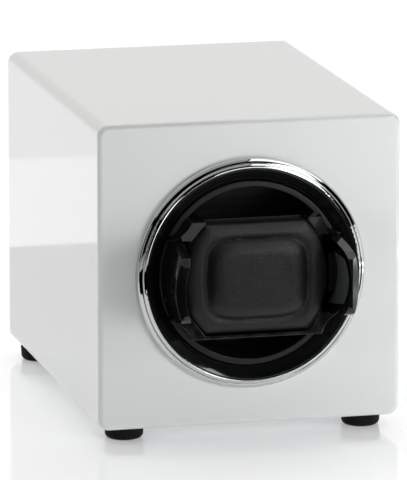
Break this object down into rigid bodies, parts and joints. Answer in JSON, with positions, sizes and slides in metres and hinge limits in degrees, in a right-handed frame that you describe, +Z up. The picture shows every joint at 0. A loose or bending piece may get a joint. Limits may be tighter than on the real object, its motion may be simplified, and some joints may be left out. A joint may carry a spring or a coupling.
{
  "type": "watch winder box",
  "caption": "Lacquered box with a chrome-ringed round opening, in which a geared cup turns a padded watch holder that pulls out by two sprung finger grips.",
  "frame": {"origin": "centre of the bounding box in plan, on the surface that the feet stand on", "axes": "+Z up, the front face and its round opening towards -Y, +X to the right seen from the front"},
  "size_m": [0.125, 0.206, 0.1305],
  "materials": {
    "white_lacquer": "high-gloss white lacquer on fibreboard",
    "bright_chrome": "polished plating",
    "gloss_black": "piano-black gloss",
    "satin_black": "fine satin texture",
    "black_rubber": "matte moulded",
    "black_leatherette": "fine-grained, semi-matte",
    "brass_parts": "turned",
    "zinc_plate": "zinc plated",
    "gear_nylon": "natural nylon",
    "raw_board": "bare fibreboard",
    "circuit_board": "solder mask",
    "component_black": "moulded epoxy",
    "wire_sleeve": "soft insulation",
    "steel_parts": "bright steel"
  },
  "bodies": {
    "housing": {"housing_shell": "white_lacquer", "chrome_trim_ring": "bright_chrome", "bezel_barrel": "gloss_black", "barrel_screws": "steel_parts", "foot_front_left": "black_rubber", "foot_front_right": "black_rubber", "foot_rear_left": "black_rubber", "foot_rear_right": "black_rubber", "foot_screws": "steel_parts", "front_bush": "brass_parts", "rear_bush": "brass_parts", "gear_plate": "zinc_plate", "gear_plate_screws": "steel_parts", "idler_pin": "steel_parts", "motor_gear_head": "zinc_plate", "motor_screws": "steel_parts", "motor_can": "zinc_plate", "motor_end_cap": "satin_black", "motor_terminals": "brass_parts", "corner_blocks": "raw_board", "back_panel": "satin_black", "back_panel_screws": "steel_parts", "control_board": "circuit_board", "board_screws": "steel_parts", "board_components": "component_black", "program_switch": "satin_black", "direction_switch": "satin_black", "dc_jack": "satin_black", "dc_jack_pin": "steel_parts", "motor_wires": "wire_sleeve"},
    "rotor": {"rotor_cup": "satin_black", "rotor_shaft": "steel_parts", "shaft_screw": "steel_parts", "thrust_washer": "gear_nylon", "shaft_clip": "steel_parts", "drive_gear": "gear_nylon"},
    "idler": {"idler_gear": "gear_nylon"},
    "motor_output": {"motor_shaft": "steel_parts", "motor_pinion": "brass_parts"},
    "program_control": {"program_shaft": "steel_parts", "program_knob": "satin_black"},
    "direction_control": {"direction_shaft": "steel_parts", "direction_knob": "satin_black"},
    "holder": {"holder_frame": "gloss_black", "holder_back": "satin_black", "holder_screws": "steel_parts", "watch_cushion": "black_leatherette", "grip_pins": "steel_parts", "grip_springs": "steel_parts"},
    "left_lever": {"grip_left": "gloss_black"},
    "right_lever": {"grip_right": "gloss_black"}
  },
  "joints": [
    {"name": "rotor_spin", "type": "hinge", "parent": "housing", "child": "rotor", "pos_m": [0, 0, 0.068], "axis": [0, 1, 0], "continuous": true},
    {"name": "idler_spin", "type": "hinge", "parent": "housing", "child": "idler", "pos_m": [0, 0, 0.0392], "axis": [0, 1, 0], "continuous": true},
    {"name": "motor_spin", "type": "hinge", "parent": "housing", "child": "motor_output", "pos_m": [0.0224, 0, 0.0392], "axis": [0, 1, 0], "continuous": true},
    {"name": "program_turn", "type": "hinge", "parent": "housing", "child": "program_control", "pos_m": [-0.018, 0, 0.046], "axis": [0, -1, 0], "range_deg": [-135, 135]},
    {"name": "direction_turn", "type": "hinge", "parent": "housing", "child": "direction_control", "pos_m": [0.006, 0, 0.046], "axis": [0, -1, 0], "range_deg": [-45, 45]},
    {"name": "holder_pull", "type": "slide", "parent": "rotor", "child": "holder", "axis": [0, -1, 0], "range_m": [0, 0.07]},
    {"name": "left_squeeze", "type": "hinge", "parent": "holder", "child": "left_lever", "pos_m": [-0.0285, -0.057, 0.068], "axis": [0, 0, 1], "range_deg": [0, 5], "stiffness_Nm_per_rad": 1, "springref_deg": -5.73},
    {"name": "right_squeeze", "type": "hinge", "parent": "holder", "child": "right_lever", "pos_m": [0.0285, -0.057, 0.068], "axis": [0, 0, -1], "range_deg": [0, 5], "stiffness_Nm_per_rad": 1, "springref_deg": -5.73}
  ],
  "couplings": [
    {"joint": "idler_spin", "follows": "rotor_spin", "ratio": -3.5},
    {"joint": "motor_spin", "follows": "rotor_spin", "ratio": 10.5}
  ]
}
